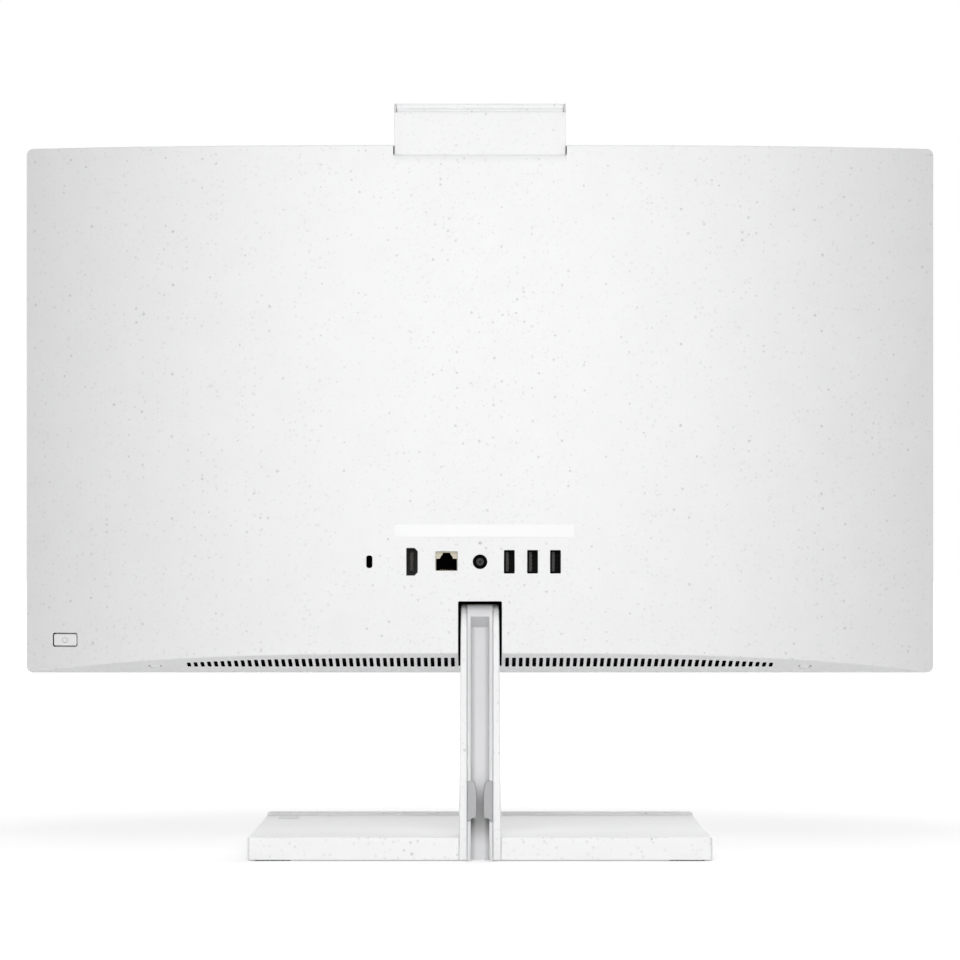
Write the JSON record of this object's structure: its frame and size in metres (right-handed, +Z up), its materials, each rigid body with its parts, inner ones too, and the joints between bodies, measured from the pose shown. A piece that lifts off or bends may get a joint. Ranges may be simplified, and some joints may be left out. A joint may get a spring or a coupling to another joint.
{
  "type": "all-in-one desktop computer",
  "caption": "Slim all-in-one computer: curved white shell with rear sockets, pop-up camera and underside vents, tilting on a narrow post with a cable channel over a flat base.",
  "frame": {"origin": "on the ground under the centre of the overall box, with the display upright and the camera raised", "axes": "+Z up; the screen faces -Y and the sockets face +Y; +X is to the right of someone who looks at the screen"},
  "size_m": [0.54, 0.2064, 0.4438],
  "materials": {
    "white_shell": "fine matte white moulding with small grey flecks",
    "silver_plastic": "satin silver-grey moulding",
    "clip_plastic": "matte mid grey moulding",
    "dark_trim": "matte dark grey moulding",
    "rubber_feet": "soft matte rubber",
    "steel": "zinc plated sheet steel",
    "hinge_steel": "ground steel",
    "screen_glass": "dark display glass with a black border",
    "backlight": "white backlight stack in a thin tray",
    "socket_black": "black moulding with a metal shell",
    "socket_beige": "beige moulding",
    "label_white": "smooth white printed film, bare",
    "clear_light": "clear light pipe",
    "board_green": "green circuit board",
    "card_black": "black moulding",
    "copper": "plain copper",
    "fin_aluminium": "thin bare fins",
    "lens_glass": "dark coated lens"
  },
  "bodies": {
    "stand": {"base_cover": "white_shell", "base_plate": "steel", "foot_front_left": "rubber_feet", "foot_front_right": "rubber_feet", "foot_rear_left": "rubber_feet", "foot_rear_right": "rubber_feet", "base_badge": "silver_plastic", "post_shell": "white_shell", "post_core": "steel", "post_screw_1": "steel", "post_screw_2": "steel", "cable_channel": "silver_plastic", "cable_clip": "clip_plastic"},
    "display": {"hinge_bracket": "steel", "hinge_pin": "hinge_steel", "friction_washer_left": "hinge_steel", "friction_washer_right": "hinge_steel", "rear_cover": "white_shell", "front_bezel": "white_shell", "panel_glass": "screen_glass", "backlight_unit": "backlight", "chassis": "steel", "screw_cover_left": "white_shell", "screw_cover_right": "white_shell", "cover_screw_left": "steel", "cover_screw_right": "steel", "video_socket": "socket_black", "network_socket": "socket_beige", "data_socket_1": "socket_black", "data_socket_2": "socket_black", "data_socket_3": "socket_black", "power_jack": "socket_black", "lock_plate": "steel", "label_strip": "label_white", "status_light": "clear_light", "main_board": "board_green", "heat_spreader": "copper", "memory_module": "card_black", "storage_card": "card_black", "radio_card": "card_black", "clock_cell": "steel", "panel_cable": "copper", "heat_pipe": "copper", "fin_stack": "fin_aluminium", "fan_housing": "card_black", "speaker_left": "card_black", "speaker_right": "card_black", "power_switch": "dark_trim", "camera_guide_left": "card_black", "camera_guide_right": "card_black", "camera_latch": "card_black"},
    "camera_slider": {"camera_carriage": "white_shell", "camera_cap_left": "dark_trim", "camera_cap_right": "dark_trim"},
    "camera_bar": {"camera_head": "white_shell", "camera_lens": "lens_glass"},
    "power_key": {"power_button": "white_shell"},
    "fan_wheel": {"fan_rotor": "card_black"}
  },
  "joints": [
    {"name": "display_tilt", "type": "hinge", "parent": "stand", "child": "display", "pos_m": [0, 0.08425, 0.1335], "axis": [-1, 0, 0], "range_deg": [-5, 20]},
    {"name": "camera_lift", "type": "slide", "parent": "display", "child": "camera_slider", "axis": [0, 0, 1], "range_m": [-0.0226, 0]},
    {"name": "camera_tilt", "type": "hinge", "parent": "camera_slider", "child": "camera_bar", "pos_m": [0, 0.09275, 0.4398], "axis": [1, 0, 0], "range_deg": [-20, 20]},
    {"name": "button_press", "type": "slide", "parent": "display", "child": "power_key", "axis": [-0.3615, -0.9324, 0], "range_m": [0, 0.0006], "stiffness_N_per_m": 1200, "springref_m": -0.0004},
    {"name": "fan_spin", "type": "hinge", "parent": "display", "child": "fan_wheel", "pos_m": [-0.148, 0.07525, 0.18516], "axis": [0, 1, 0], "continuous": true}
  ]
}
